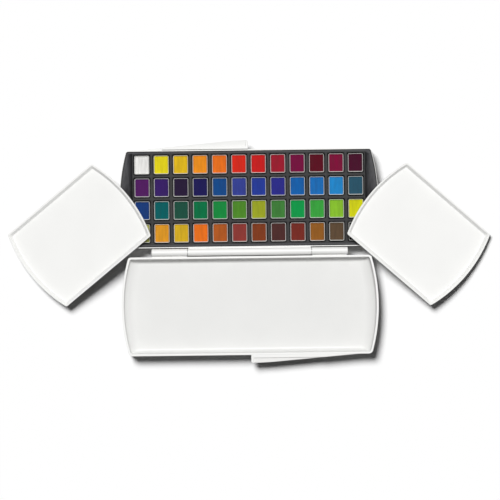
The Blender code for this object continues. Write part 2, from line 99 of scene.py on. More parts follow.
case_length = base_high.x - base_low.x
lid_length = lid_high.x - lid_low.x
barrel_radius = -base_low.y
case_back = barrel_radius + HINGE_GAP
case_front = base_high.y - TAB_DEPTH
lid_front = case_front + LID_OVERHANG
base_sizes = (case_length, case_front - case_back, CASE_BOW_RADIUS, BACK_CORNER, FRONT_CORNER)
lid_sizes = (lid_length, lid_front - case_back, CASE_BOW_RADIUS, BACK_CORNER, FRONT_CORNER)
base_middle = (case_back + case_front) / 2
lid_middle = (case_back + lid_front) / 2
rim_height = axis_height - RIM_DROP
print(f"The base is {case_length / MM:.1f} mm long and the lid {lid_length / MM:.1f} mm")
print(f"The hinge axis is {axis_height / MM:.2f} mm up")

# %% [markdown]
# ## The camera
#
# The box was photographed from straight above, so far away that its walls hardly show. A long lens does the
# same: perspective is the distance's doing, not the lens's, and a long lens only keeps a far view large. The
# distance follows from similar triangles, so that the rims of the box are drawn at one millimetre a pixel.

# %% Hang the camera overhead
VIEW_WIDTH = 500 * MM
VIEW_MIDDLE = (0.4 * MM, 1.6 * MM)
VIEW_ROLL = -0.7
LENS = 200

camera_data = bpy.data.cameras.new("overhead_camera")
camera_data.lens = LENS
camera_distance = VIEW_WIDTH * LENS / camera_data.sensor_width
camera_data.clip_end = 10 * camera_distance
camera = bpy.data.objects.new("overhead_camera", camera_data)
camera.location = (*VIEW_MIDDLE, rim_height + camera_distance)
camera.rotation_euler.z = math.radians(VIEW_ROLL)
scene.collection.objects.link(camera)
scene.camera = camera
scene.view_settings.view_transform = "Standard"
print(f"The camera hangs {camera_distance:.2f} m above the rims")

# %% [markdown]
# ## The light
#
# Inside the box the light is soft and comes from behind: the wall beside the hinge is in shade, and the one
# across from it is bright. On the table the shadows fall to the right and the front. One lamp can't do
# both, so the box and the table have a Sun lamp each, and light linking tells a lamp what it may light. A
# Sun lamp's angle sets how soft its shadows are. A third lamp with a very wide angle is the box's fill.
# Each set of lamps lights a level white card to plain white, so a colour renders about as it is written.

# %% Hang the lamps
BOX_KEY = {"fall": Vector((-0.04, -0.3, -1)), "spread": 14, "share": 0.76}
BOX_FILL = {"fall": Vector((0, 0, -1)), "spread": 150, "share": 0.14}
TABLE_KEY = {"fall": Vector((0.45, -0.66, -1)), "spread": 27, "share": 0.95}
WORLD_SHARE = 0.05

table_only = bpy.data.collections.new("table_only")
all_but_table = bpy.data.collections.new("all_but_table")


def add_lamp(name, fall, spread, share, receivers):
    """A Sun lamp that gives a share of the light on a level card, and lights only its receivers."""
    data = bpy.data.lights.new(name, "SUN")
    data.angle = math.radians(spread)
    data.energy = share * math.pi / fall.normalized().dot(Vector((0, 0, -1)))
    lamp = bpy.data.objects.new(name, data)
    lamp.rotation_euler = fall.to_track_quat("-Z", "Y").to_euler()
    lamp.light_linking.receiver_collection = receivers
    scene.collection.objects.link(lamp)


add_lamp("box_key", **BOX_KEY, receivers=all_but_table)
add_lamp("box_fill", **BOX_FILL, receivers=all_but_table)
add_lamp("table_key", **TABLE_KEY, receivers=table_only)

# %% [markdown]
# ## The white room
#
# The world adds a breath of light from all sides. It must look white to the camera, and white in
# reflections, which give the plastic its sheen, but white light from everywhere would wash out the shadows.
# The Light Path node tells the kinds of ray apart: rays that see get strength 1, and the rest get a share.

# %% Paint the world
SEEING_RAYS = ("Is Camera Ray", "Is Glossy Ray", "Is Transmission Ray")


def seeing_factor(tree):
    """A socket that is 1 for the rays that see the surroundings, and 0 for the rest."""
    path = tree.nodes.new("ShaderNodeLightPath")
    factor = path.outputs[SEEING_RAYS[0]]
    for kind in SEEING_RAYS[1:]:
        either = tree.nodes.new("ShaderNodeMath")
        either.operation = "MAXIMUM"
        tree.links.new(factor, either.inputs[0])
        tree.links.new(path.outputs[kind], either.inputs[1])
        factor = either.outputs[0]
    return factor


world = bpy.data.worlds.new("white_room")
world.use_nodes = True
scene.world = world
tree = world.node_tree
background = tree.nodes["Background"]
background.inputs["Color"].default_value = (1, 1, 1, 1)
strength = tree.nodes.new("ShaderNodeMapRange")
strength.inputs["To Min"].default_value = WORLD_SHARE
strength.inputs["To Max"].default_value = 1
tree.links.new(seeing_factor(tree), strength.inputs["Value"])
tree.links.new(strength.outputs["Result"], background.inputs["Strength"])
print("The world gives a share of", WORLD_SHARE)

# %% [markdown]
# ## The table top
#
# The table is only a stage: a plain pale sheet that shows the shadows. It looks white to the camera, but
# throws back less light than a perfect white would, so that the shaded walls of the box keep their depth.

# %% Lay the table top
TABLE_SIZE = 8
TABLE_BOUNCE = 0.15

bm = bmesh.new()
bmesh.ops.create_grid(bm, x_segments=1, y_segments=1, size=TABLE_SIZE / 2)
table_mesh = bpy.data.meshes.new("table_top")
bm.to_mesh(table_mesh)
bm.free()
table = bpy.data.objects.new("table_top", table_mesh)
scene.collection.objects.link(table)
table_only.objects.link(table)
all_but_table.objects.link(table)
all_but_table.collection_objects[0].light_linking.link_state = "EXCLUDE"

table_finish = bpy.data.materials.new("pale_table")
table_finish.use_nodes = True
tree = table_finish.node_tree
tree.nodes.remove(tree.nodes["Principled BSDF"])
sheet = tree.nodes.new("ShaderNodeBsdfDiffuse")
tint = tree.nodes.new("ShaderNodeMix")
tint.data_type = "RGBA"
tint.inputs["A"].default_value = (TABLE_BOUNCE, TABLE_BOUNCE, TABLE_BOUNCE, 1)
tint.inputs["B"].default_value = (1, 1, 1, 1)
tree.links.new(seeing_factor(tree), tint.inputs["Factor"])
tree.links.new(tint.outputs["Result"], sheet.inputs["Color"])
tree.links.new(sheet.outputs["BSDF"], tree.nodes["Material Output"].inputs["Surface"])
table_mesh.materials.append(table_finish)
print("The table top is", TABLE_SIZE, "m wide")

# %% [markdown]
# ## The outline with bowed ends
#
# The case, the tray and the palettes share one family of outline: two straight sides, two ends bowed like a
# barrel, and four small round corners. It could be traced with a Bezier curve, but arcs are exact and easy
# to move inwards, which gives a wall an even thickness. A corner arc touches both the straight side and the
# bow, and a right-angled triangle gives its centre. Corners stay soft however far the outline moves in.

# %% Draw the outline
BOW_STEPS = 40
CORNER_STEPS = 8
SOFT_CORNER = 2 * MM


def arc_points(centre, radius, start, end, steps):
    """Points along an arc, with both of its ends."""
    angles = np.linspace(start, end, steps + 1)
    return [Vector((centre[0] + radius * math.cos(a), centre[1] + radius * math.sin(a))) for a in angles]


def bowed_outline(length, depth, bow_radius, near_radius, far_radius):
    """Closed outline about the origin. The near corners are towards -Y and the far ones towards +Y."""
    bow_centre = length / 2 - bow_radius
    corners = []
    for radius in (near_radius, far_radius):
        reach = bow_radius - radius
        rise = depth / 2 - radius
        corners.append((bow_centre + math.sqrt(reach**2 - rise**2), rise, math.asin(rise / reach)))
    (near_x, near_y, near_angle), (far_x, far_y, far_angle) = corners
    end = arc_points((near_x, -near_y), near_radius, -math.pi / 2, -near_angle, CORNER_STEPS)
    end += arc_points((bow_centre, 0), bow_radius, -near_angle, far_angle, BOW_STEPS)[1:]
    end += arc_points((far_x, far_y), far_radius, far_angle, math.pi / 2, CORNER_STEPS)[1:]
    return end + [Vector((-point.x, point.y)) for point in reversed(end)]


def inset_outline(sizes, inset, end_inset=0):
    """The outline of these sizes moved inwards by an inset, and its ends by some more."""
    length, depth, bow_radius, near_radius, far_radius = sizes
    return bowed_outline(
        length - 2 * (inset + end_inset),
        depth - 2 * inset,
        bow_radius - inset,
        max(near_radius - inset, SOFT_CORNER),
        max(far_radius - inset, SOFT_CORNER),
    )


print("The outline of the base has", len(inset_outline(base_sizes, 0)), "points")

# %% [markdown]
# ## A moulding from its section
#
# An injection-moulded shell is one section that runs right round an outline: round the bottom edge, up the
# outer wall, over the rim, down the inner wall and through a fillet to the floor. Solidify and Bevel could
# make it, but their corners pinch where the rounding is larger than the corner. So the section is a list of
# insets and heights. Each gives one ring of points, and quads join the rings.

# %% Loft rings into a closed mesh
ROUND_STEPS = 8


def quarter(centre_inset, centre_height, radius, start, end):
    """A quarter turn of the section about a centre, between two angles in degrees."""
    angles = np.radians(np.linspace(start, end, ROUND_STEPS + 1))
    return [(centre_inset + radius * math.cos(a), centre_height + radius * math.sin(a)) for a in angles]


def outer_section(low, high, edge_round, rim_round):
    """Insets and heights from the underside, round the bottom edge, up the wall and onto the rim."""
    edge = quarter(edge_round, low + edge_round, edge_round, -90, -180)
    return edge + quarter(rim_round, high - rim_round, rim_round, 180, 90)


def inner_section(wall, floor, high, fillet, rim_round, lean):
    """Insets and heights from the rim, down an inner wall that leans back, and through the fillet."""
    rim = quarter(wall - rim_round, high - rim_round, rim_round, 90, lean)
    slope = math.radians(lean)
    fall = rim[-1][1] - floor - fillet * (1 - math.sin(slope))
    foot = rim[-1][0] + fall * math.tan(slope) + fillet * math.cos(slope)
    return rim + quarter(foot, floor + fillet, fillet, 180 + lean, 270)


def new_object(name, bm):
    """Turn a bmesh into an object in the scene, with its faces pointing out."""
    bmesh.ops.recalc_face_normals(bm, faces=bm.faces)
    mesh = bpy.data.meshes.new(name)
    bm.to_mesh(mesh)
    bm.free()
    obj = bpy.data.objects.new(name, mesh)
    scene.collection.objects.link(obj)
    return obj


def loft(name, rings):
    """A closed object whose skin joins rings of equally many points, with a cap on each end."""
    bm = bmesh.new()
    loops = [[bm.verts.new(point) for point in ring] for ring in rings]
    bm.faces.new(loops[0])
    bm.faces.new(loops[-1])
    for lower, upper in zip(loops, loops[1:]):
        for i in range(len(lower)):
            bm.faces.new((lower[i - 1], lower[i], upper[i], upper[i - 1]))
    return new_object(name, bm)


def rings_of(sizes, section, middle=0, end_slope=0):
    """One ring of points for each inset and height of a section. A slope draws the ends further in."""
    rings = []
    for inset, height in section:
        outline = inset_outline(sizes, inset, end_slope * (inset - section[0][0]))
        rings.append([(x, middle + y, height) for x, y in outline])
    return rings


print("Each rounding has", ROUND_STEPS, "steps")

# %% [markdown]
# ## Joining and cutting
#
# The hinge barrel and the opening tab are moulded in one with the shell, so their shapes are joined to it by
# Boolean modifiers, and bores and grooves are cut out the same way. The modifiers are applied at once and
# the tools removed, so that each piece ends as one plain mesh. Smooth shading with sharp edges kept, and
# normals weighted by face size, makes the roundings read as round and the flats as flat.

# %% Helpers for joining, cutting and shading
SHARP_ANGLE = 35


def apply_modifiers(obj):
    """Swap an object's mesh for the one that its modifiers give."""
    bpy.context.view_layer.update()
    graph = bpy.context.evaluated_depsgraph_get()
    plain, obj.data = obj.data, bpy.data.meshes.new_from_object(obj.evaluated_get(graph))
    obj.modifiers.clear()
    bpy.data.meshes.remove(plain)


def combine(obj, operation, tools):
    """Join tools to an object or cut them out of it, and remove them."""
    for tool in tools:
        boolean = obj.modifiers.new(tool.name, "BOOLEAN")
        boolean.operation = operation
        boolean.solver = "EXACT"
        boolean.object = tool
    apply_modifiers(obj)
    for tool in tools:
        bpy.data.objects.remove(tool)


def soften(obj, width, steps):
    """Round the sharp edges of an object."""
    bevel = obj.modifiers.new("soft_edges", "BEVEL")
    bevel.limit_method = "ANGLE"
    bevel.angle_limit = math.radians(SHARP_ANGLE)
    bevel.width = width
    bevel.segments = steps
    apply_modifiers(obj)


def dress(obj, finish, slot, body, *nodes):
    """Give a piece its finish and shading, seat it on its body, and let it stand for nodes of the frame."""
    obj.data.materials.clear()
    obj.data.materials.append(finish)
    obj.data.shade_smooth()
    obj.data.set_sharp_from_angle(angle=math.radians(SHARP_ANGLE))
    shading = obj.modifiers.new("even_shading", "WEIGHTED_NORMAL")
    shading.keep_sharp = True
    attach(obj, body)
    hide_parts(*nodes)
    print(f"{obj.name} has {len(obj.data.polygons)} faces and rides on {body}")


# %% [markdown]
# ## Tools for a finish
#
# A finish starts as one plain colour and one roughness, and real surfaces are never that even. They could
# be painted in pictures, but textures worked out from noise need no file and never show a seam. The noise
# is measured in metres on the piece itself, so its lumps have a real size. It can drift a number, mix two
# colours, or raise the surface. A last tool lets a colour go by the height on the piece.

# %% Helpers for finishes
NOISE_RANGE = (0.3, 0.7)
PLAIN_SPECULAR = 0.3

slot_colours = {item["slot"]: (*item["base_color"], 1) for item in frame["record"]["materials"]}


def shaded(colour, share):
    """A colour made darker or lighter by a share."""
    return (*(channel * share for channel in colour[:3]), 1)


def new_finish(name, colour, roughness, metallic=0, specular=PLAIN_SPECULAR):
    """A Principled finish of one colour, and its shader."""
    finish = bpy.data.materials.new(name)
    finish.use_nodes = True
    shader = finish.node_tree.nodes["Principled BSDF"]
    shader.inputs["Base Color"].default_value = colour
    shader.inputs["Roughness"].default_value = roughness
    shader.inputs["Metallic"].default_value = metallic
    shader.inputs["Specular IOR Level"].default_value = specular
    return finish, shader


def add_noise(finish, size, detail=2, stretch=(1, 1, 1), offset=(0, 0, 0)):
    """A noise texture whose lumps are about this size in metres. A larger stretch makes them narrower."""
    tree = finish.node_tree
    place = tree.nodes.new("ShaderNodeTexCoord")
    mapping = tree.nodes.new("ShaderNodeMapping")
    mapping.inputs["Scale"].default_value = stretch
    mapping.inputs["Location"].default_value = offset
    texture = tree.nodes.new("ShaderNodeTexNoise")
    texture.inputs["Scale"].default_value = 1 / size
    texture.inputs["Detail"].default_value = detail
    tree.links.new(place.outputs["Object"], mapping.inputs["Vector"])
    tree.links.new(mapping.outputs["Vector"], texture.inputs["Vector"])
    return texture.outputs["Fac"]


def drive_range(finish, factor, socket, low, high):
    """Drive a number of the shader between two values by a noise texture."""
    spread = finish.node_tree.nodes.new("ShaderNodeMapRange")
    spread.inputs["From Min"].default_value, spread.inputs["From Max"].default_value = NOISE_RANGE
    spread.inputs["To Min"].default_value = low
    spread.inputs["To Max"].default_value = high
    finish.node_tree.links.new(factor, spread.inputs["Value"])
    finish.node_tree.links.new(spread.outputs["Result"], socket)


def drive_colour(finish, factor, socket, first, second):
    """Mix two colours into a colour of the shader by a noise texture."""
    ramp = finish.node_tree.nodes.new("ShaderNodeValToRGB")
    for element, position, colour in zip(ramp.color_ramp.elements, NOISE_RANGE, (first, second)):
        element.position = position
        element.color = colour
    finish.node_tree.links.new(factor, ramp.inputs["Fac"])
    finish.node_tree.links.new(ramp.outputs["Color"], socket)


def add_bump(finish, shader, factor, depth, under=None):
    """Raise the surface by up to a depth in metres where a noise texture is bright."""
    bump = finish.node_tree.nodes.new("ShaderNodeBump")
    bump.inputs["Distance"].default_value = depth
    finish.node_tree.links.new(factor, bump.inputs["Height"])
    if under is not None:
        finish.node_tree.links.new(under, bump.inputs["Normal"])
    finish.node_tree.links.new(bump.outputs["Normal"], shader.inputs["Normal"])
    return bump.outputs["Normal"]


def by_height(finish, heights, values):
    """A number that goes from the first to the second of two values between two heights."""
    tree = finish.node_tree
    place = tree.nodes.new("ShaderNodeTexCoord")
    parts = tree.nodes.new("ShaderNodeSeparateXYZ")
    spread = tree.nodes.new("ShaderNodeMapRange")
    spread.inputs["From Min"].default_value, spread.inputs["From Max"].default_value = heights
    spread.inputs["To Min"].default_value, spread.inputs["To Max"].default_value = values
    tree.links.new(place.outputs["Object"], parts.inputs["Vector"])
    tree.links.new(parts.outputs["Z"], spread.inputs["Value"])
    return spread.outputs["Result"]


def scale_colour(finish, shader, share):
    """Multiply whatever colours the shader by a share."""
    product = finish.node_tree.nodes.new("ShaderNodeMix")
    product.data_type = "RGBA"
    product.blend_type = "MULTIPLY"
    product.inputs["Factor"].default_value = 1
    colour = shader.inputs["Base Color"].links[0].from_socket
    finish.node_tree.links.new(colour, product.inputs["A"])
    finish.node_tree.links.new(share, product.inputs["B"])
    finish.node_tree.links.new(product.outputs["Result"], shader.inputs["Base Color"])


print("The frame names", len(slot_colours), "colours")

# %% [markdown]
# ## Moulded plastic
#
# The case, the palettes and the pans are white plastic, and no two of them quite the same. What tells
# plastic from plain white is small: a fine grain left by the mould, and patches that shine a little more
# where hands have rubbed it. One noise texture bends the surface by a few thousandths of a millimetre, a
# coarser one drifts the roughness, and a third lets the white darken very slightly here and there. The
# case's white goes by the height: a painted highlight makes its rims whiter, and painted shade makes its
# walls and floors greyer.

# %% Mix the white plastics
CASE_ROUGHNESS = 0.36
PALETTE_ROUGHNESS = 0.33
PAN_ROUGHNESS = 0.34
CASE_GRAIN = 0.008 * MM
SMOOTH_GRAIN = 0.003 * MM
GRAIN_SIZE = 0.35 * MM
PATCH_SIZE = 45 * MM
PATCH_SHARE = 0.975
RUBBED_SIZE = 20 * MM
RUBBED_SHINE = 0.03
UNRUBBED_DULLNESS = 0.04
# Band and shares of the case's painted light: a painted highlight on the rims, painted shade below them.
PAINTED_RIM_LIGHT_BAND = 2 * MM
PAINTED_FLOOR_SHADE_SHARE = 0.9
PAINTED_RIM_HIGHLIGHT_SHARE = 1.05
PALETTE_SHARE = 1.04
PAN_SHARE = 1.1


def white_plastic(name, colour, roughness, grain):
    """White plastic with a fine moulding grain and slightly uneven gloss, and its shader."""
    finish, shader = new_finish(name, colour, roughness)
    drift = add_noise(finish, PATCH_SIZE)
    drive_colour(finish, drift, shader.inputs["Base Color"], colour, shaded(colour, PATCH_SHARE))
    rubbed = add_noise(finish, RUBBED_SIZE)
    shiniest, dullest = roughness - RUBBED_SHINE, roughness + UNRUBBED_DULLNESS
    drive_range(finish, rubbed, shader.inputs["Roughness"], shiniest, dullest)
    add_bump(finish, shader, add_noise(finish, GRAIN_SIZE, detail=3), grain)
    return finish, shader


case_colour = slot_colours["case_plastic"]
case_white, case_shader = white_plastic("case_white", case_colour, CASE_ROUGHNESS, CASE_GRAIN)
# Painted light: whiter rims and greyer walls and floors, graded over a band just below the rim.
painted_rim_light_zone = (rim_height - PAINTED_RIM_LIGHT_BAND, rim_height)
scale_colour(case_white, case_shader, by_height(case_white, painted_rim_light_zone, (PAINTED_FLOOR_SHADE_SHARE, PAINTED_RIM_HIGHLIGHT_SHARE)))
palette_colour = shaded(slot_colours["palette_plastic"], PALETTE_SHARE)
palette_white = white_plastic("palette_white", palette_colour, PALETTE_ROUGHNESS, SMOOTH_GRAIN)[0]
pan_colour = shaded(slot_colours["pan_plastic"], PAN_SHARE)
pan_white = white_plastic("pan_white", pan_colour, PAN_ROUGHNESS, SMOOTH_GRAIN)[0]
print("White finishes:", case_white.name, palette_white.name, pan_white.name)

# %% [markdown]
# ## The shell of the base
#
# The base is a shallow tub. Its rim is only a narrow land, because the black tray drops into a step cut
# inside it and rests there. The section therefore has one more turn than a plain tub: over the land, down to
# the ledge, in across the ledge, and then down to the floor. The land is wider along the front than along
# the back, so the rings of the step follow the tray's outline instead of the case's.

# %% Loft the base
tray_low, tray_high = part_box("pan_tray")

BASE_WALL = 1.9 * MM
BASE_EDGE_ROUND = 3 * MM
RIM_ROUND = 0.3 * MM
TRAY_GAP = 0.5 * MM
TRAY_CORNER = 1.8 * MM
PLATE_THICKNESS = 1.2 * MM
FIELD_RISE = 0.4 * MM

plate_top = tray_high.z - FIELD_RISE
ledge_height = plate_top - PLATE_THICKNESS - TRAY_GAP
tray_middle = (tray_low.y + tray_high.y) / 2
tray_length = tray_high.x - tray_low.x
tray_depth = tray_high.y - tray_low.y
end_land = (case_length - tray_length) / 2 - TRAY_GAP
tray_sizes = (tray_length, tray_depth, CASE_BOW_RADIUS - end_land - TRAY_GAP, TRAY_CORNER, TRAY_CORNER)

rings = rings_of(base_sizes, outer_section(0, rim_height, BASE_EDGE_ROUND, RIM_ROUND), base_middle)
land = quarter(-TRAY_GAP - RIM_ROUND, rim_height - RIM_ROUND, RIM_ROUND, 90, 0)
rings += rings_of(tray_sizes, land + [(-TRAY_GAP, ledge_height)], tray_middle)
inner_round = BASE_EDGE_ROUND - BASE_WALL / 2
well = quarter(BASE_WALL + inner_round, BASE_WALL + inner_round, inner_round, 180, 270)
rings += rings_of(base_sizes, [(BASE_WALL, ledge_height)] + well, base_middle)
base_shell = loft("base_shell", rings)
print(f"The land is {end_land / MM:.1f} mm wide at the ends of the base")

# %% [markdown]
# ## The shell of the lid
#
# The lid is a plainer tub, deeper rounded along its bottom edge, which is the top of the closed box. Paint is
# mixed in it, so its floor rises gently to the ends: there the fillet is drawn out to twice its width and
# more. It is drawn over the base first, because both have the same kind of outline and tab, and turned half
# a circle about the origin at the end, with everything that belongs to it.

# %% Loft the lid
LID_WALL = 2.1 * MM
LID_EDGE_ROUND = 6 * MM
LID_END_SLOPE = 1.3

lid_fillet = LID_EDGE_ROUND - LID_WALL / 2
rim = quarter(LID_WALL - RIM_ROUND, rim_height - RIM_ROUND, RIM_ROUND, 90, 0)
basin = quarter(LID_WALL + lid_fillet, LID_WALL + lid_fillet, lid_fillet, 180, 270)
rings = rings_of(lid_sizes, outer_section(0, rim_height, LID_EDGE_ROUND, RIM_ROUND) + rim, lid_middle)
lid_shell = loft("lid_shell", rings + rings_of(lid_sizes, basin, lid_middle, LID_END_SLOPE))
print(f"The floor of the lid meets its walls in a fillet of {lid_fillet / MM:.2f} mm")

# %% [markdown]
# ## Rods and webs
#
# The barrel, the knuckles, the pins and the drills for their bores are all rods along the hinge axis. A rod
# could be a cylinder with a Bevel, but a loft of circles lets each end have a rounding of its own. A web is
# the plain block of plastic under a barrel or a knuckle that holds it to the wall.

# %% Helpers for rods and webs
WEB_DROP = 0.4 * MM
WEB_ROOT = 1 * MM
ROD_SIDES = 64


def circle(x, radius):
    """Points round the hinge axis at one place along it."""
    angles = np.linspace(0, 2 * math.pi, ROD_SIDES, endpoint=False)
    return [(x, radius * math.cos(a), axis_height + radius * math.sin(a)) for a in angles]


def rod(name, radius, start, end, start_round, end_round):
    """A rod along the hinge axis whose two ends are rounded."""
    turns = np.radians(np.linspace(0, 90, ROUND_STEPS + 1))
    rings = []
    for turn in turns:
        inset = start_round * (1 - math.sin(turn))
        rings.append(circle(start + start_round * (1 - math.cos(turn)), radius - inset))
    for turn in reversed(turns):
        inset = end_round * (1 - math.sin(turn))
        rings.append(circle(end - end_round * (1 - math.cos(turn)), radius - inset))
    return loft(name, rings)


def block(name, low, high):
    """A box between two opposite corners."""
    low, high = Vector(low), Vector(high)
    bm = bmesh.new()
    size = Matrix.Diagonal((high - low).to_4d())
    bmesh.ops.create_cube(bm, size=1, matrix=Matrix.Translation((low + high) / 2) @ size)
    return new_object(name, bm)


def web(name, start, end):
    """The web between the back wall and a stretch of the hinge."""
    foot = axis_height - barrel_radius + WEB_DROP
    return block(name, (start, 0, foot), (end, case_back + WEB_ROOT, rim_height - WEB_DROP))


print(f"A rod of the hinge is {2 * barrel_radius / MM:.1f} mm thick")

# %% [markdown]
# ## The barrel hinge
#
# The back edge of the base carries one long barrel, and the lid a knuckle at each end of it. On the real box
# they are moulded in one with the two halves, and the little gaps between them let the lid turn freely. The
# web and the rod are joined to their shell in one go. The steel pins run in bores, which are cut last.

# %% Add the barrel and the knuckles
BARREL_LENGTH = 123.6 * MM
KNUCKLE_LENGTH = 36 * MM
KNUCKLE_GAP = 0.4 * MM
BARREL_END_ROUND = 0.3 * MM
KNUCKLE_END_ROUND = 1.1 * MM
WEB_INSET = 0.6 * MM

barrel_end = BARREL_LENGTH / 2
knuckle_start = barrel_end + KNUCKLE_GAP
knuckle_end = knuckle_start + KNUCKLE_LENGTH
barrel = rod("barrel", barrel_radius, -barrel_end, barrel_end, BARREL_END_ROUND, BARREL_END_ROUND)
barrel_web = web("barrel_web", WEB_INSET - barrel_end, barrel_end - WEB_INSET)
combine(base_shell, "UNION", [barrel_web, barrel])

for sign in (-1, 1):
    low, high = sorted((sign * knuckle_start, sign * knuckle_end))
    rounds = (BARREL_END_ROUND, KNUCKLE_END_ROUND)[::sign]
    knuckle = rod("knuckle", barrel_radius, low, high, *rounds)
    low, high = sorted((sign * (knuckle_start + WEB_INSET), sign * (knuckle_end - KNUCKLE_END_ROUND)))
    combine(lid_shell, "UNION", [web("knuckle_web", low, high), knuckle])
print(f"The hinge is {2 * knuckle_end / MM:.0f} mm long in three stretches")

# %% [markdown]
# ## The opening tabs
#
# Each half has a thumb tab along half of its front edge. In plan it starts square at the middle, runs level
# for a little and then tapers straight into the wall. A parabola joins the level start to the taper without
# a kink. The outer part of its top is a step lower, to give a nail some grip. Two slabs, one on the other,
# make the step, and a slab is the shortest loft there is: one outline drawn at two heights.

# %% Add the tabs
TAB_THICKNESS = 3 * MM
TAB_INSET = 0.3 * MM
TAB_END_MARGIN = 19.8 * MM
TAB_DROP = 0.15 * MM
TAB_ROOT = 1 * MM
TAB_CORNER = 1.6 * MM
TAB_EDGE_ROUND = 0.35 * MM
TAB_BAND = 3.1 * MM
TAB_END_BAND = 2.6 * MM
TAB_STEP = 1.3 * MM
TAB_STEP_ROUND = 0.8 * MM
TAB_BEND_SHARE = 0.24
TAB_STEPS = 60
EDGE_STEPS = 3

tab_length = case_length / 2 - TAB_INSET - TAB_END_MARGIN


def tab_share(along):
    """Share of its depth that the tab has at a share of its length."""
    steepness = 1 / (1 - TAB_BEND_SHARE / 2)
    if along < TAB_BEND_SHARE:
        return 1 - steepness * along**2 / (2 * TAB_BEND_SHARE)
    return 1 - steepness * (along - TAB_BEND_SHARE / 2)


def tab_outlines(front):
    """Outlines of the whole tab and of the higher part of it beside the wall and the square end."""
    depth = base_high.y - front
    corner = (-TAB_INSET - TAB_CORNER, front + depth - TAB_CORNER)
    whole = [Vector((-TAB_INSET, front - TAB_ROOT))]
    whole += arc_points(corner, TAB_CORNER, 0, math.pi / 2, CORNER_STEPS)
    higher = list(whole)
    higher.append(Vector((-TAB_INSET - TAB_END_BAND, front + depth)))
    higher.append(Vector((-TAB_INSET - TAB_END_BAND, front + TAB_BAND)))
    for i in range(1, TAB_STEPS):
        along = i / TAB_STEPS
        swell = depth * tab_share(along)
        whole.append(Vector((-TAB_INSET - tab_length * along, front + swell)))
        if swell < TAB_BAND:
            higher.append(whole[-1])
    for outline in (whole, higher):
        outline.append(Vector((-TAB_INSET - tab_length, front - TAB_ROOT)))
    return whole, higher


def add_tab(shell, front):
    """Join the tab to the left of a shell's front wall, seen from the hinge."""
    whole, higher = tab_outlines(front)
    top = rim_height - TAB_DROP
    slabs = []
    for outline, low, high, edge_round in (
        (whole, top - TAB_THICKNESS, top - TAB_STEP, TAB_EDGE_ROUND),
        (higher, top - TAB_THICKNESS + TAB_STEP_ROUND, top, TAB_STEP_ROUND),
    ):
        slabs.append(loft("tab_slab", [[(x, y, height) for x, y in outline] for height in (low, high)]))
        soften(slabs[-1], edge_round, EDGE_STEPS)
    combine(shell, "UNION", slabs)


add_tab(base_shell, case_front)
add_tab(lid_shell, lid_front)
print(f"Each tab runs {tab_length / MM:.0f} mm along the front")

# %% [markdown]
# ## Cuts in the shells
#
# Last come the cuts: the finger groove where the base's tab meets its wall, and the bores of the hinge pins.
# The pins sit blind in the long barrel and run right through the knuckles. After the cuts the lid is turned
# round to its open place, and both shells get their plastic.

# %% Cut the groove and the bores
pin_low, pin_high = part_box("hinge_pin_right")
pin_radius = (pin_high.z - pin_low.z) / 2

GROOVE_LENGTH = 86 * MM
GROOVE_WIDTH = 1.1 * MM
GROOVE_DEPTH = 2.6 * MM
GROOVE_BITE = 0.7 * MM
PIN_CLEARANCE = 0.3 * MM
PIN_SEAT = 14 * MM
BORE_END_ROUND = 0.1 * MM
OVERRUN = 2 * MM

groove_top = rim_height - TAB_DROP
groove_back = case_front - GROOVE_BITE
groove = block(
    "groove",
    (-TAB_INSET - GROOVE_LENGTH, groove_back, groove_top - GROOVE_DEPTH),
    (0, groove_back + GROOVE_WIDTH, groove_top + OVERRUN),
)
combine(base_shell, "DIFFERENCE", [groove])


def pin_bores():
    """Two rods to drill with, a little wider than the pins and open at the outer ends."""
    start = barrel_end - PIN_SEAT
    end = knuckle_end + OVERRUN
    radius = pin_radius + PIN_CLEARANCE
    stretches = ((-end, -start), (start, end))
    return [rod("bore", radius, low, high, BORE_END_ROUND, BORE_END_ROUND) for low, high in stretches]


combine(base_shell, "DIFFERENCE", pin_bores())
combine(lid_shell, "DIFFERENCE", pin_bores())
lid_shell.data.transform(Matrix.Rotation(math.pi, 4, "Z"))
dress(base_shell, case_white, "case_plastic", "base", "base_case")
dress(lid_shell, case_white, "case_plastic", "lid", "lid_case")

# %% [markdown]
# ## The hinge pins
#
# A pin is a length of drawn steel wire. Drawing leaves fine lines along it, so its noise texture is
# stretched along X, and it bends the roughness as well as the surface. Only the ends show, at the bottom of
# the bores in the knuckles, and they are slightly rounded so that they go in easily.

# %% Make the pins
PIN_END_ROUND = 0.25 * MM
STEEL_ROUGHNESS = 0.3
BRIGHTEST_LINE = 0.22
DULLEST_LINE = 0.42
LINE_WIDTH = 0.2 * MM
LINE_STRETCH = (0.05, 1, 1)
LINE_DEPTH = 0.004 * MM

pin_steel, shader = new_finish("drawn_steel", slot_colours["pin_steel"], STEEL_ROUGHNESS, metallic=1)
drawn_lines = add_noise(pin_steel, LINE_WIDTH, detail=3, stretch=LINE_STRETCH)
drive_range(pin_steel, drawn_lines, shader.inputs["Roughness"], BRIGHTEST_LINE, DULLEST_LINE)
add_bump(pin_steel, shader, drawn_lines, LINE_DEPTH)

for side in ("left", "right"):
    low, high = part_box("hinge_pin_" + side)
    pin = rod("wire_pin_" + side, pin_radius, low.x, high.x, PIN_END_ROUND, PIN_END_ROUND)
    dress(pin, pin_steel, "pin_steel", "base", "hinge_pin_" + side)

# %% [markdown]
# ## Slabs with holes
#
# The tray is flat work: plates of one thickness with many holes. Cutting 48 holes with Booleans would be
# slow. A curve in Blender can be filled instead, and every further outline inside the first one is left
# open as a hole. So a slab is a filled curve with a thickness, turned into a mesh whose doubled points are
# welded together. The UV map that the curve leaves on the mesh is taken off, because the textures here are
# solid and need none. The outline of a well or a cup is a rectangle with four round corners.

# %% Helpers for slabs
WELD_DISTANCE = 0.01 * MM


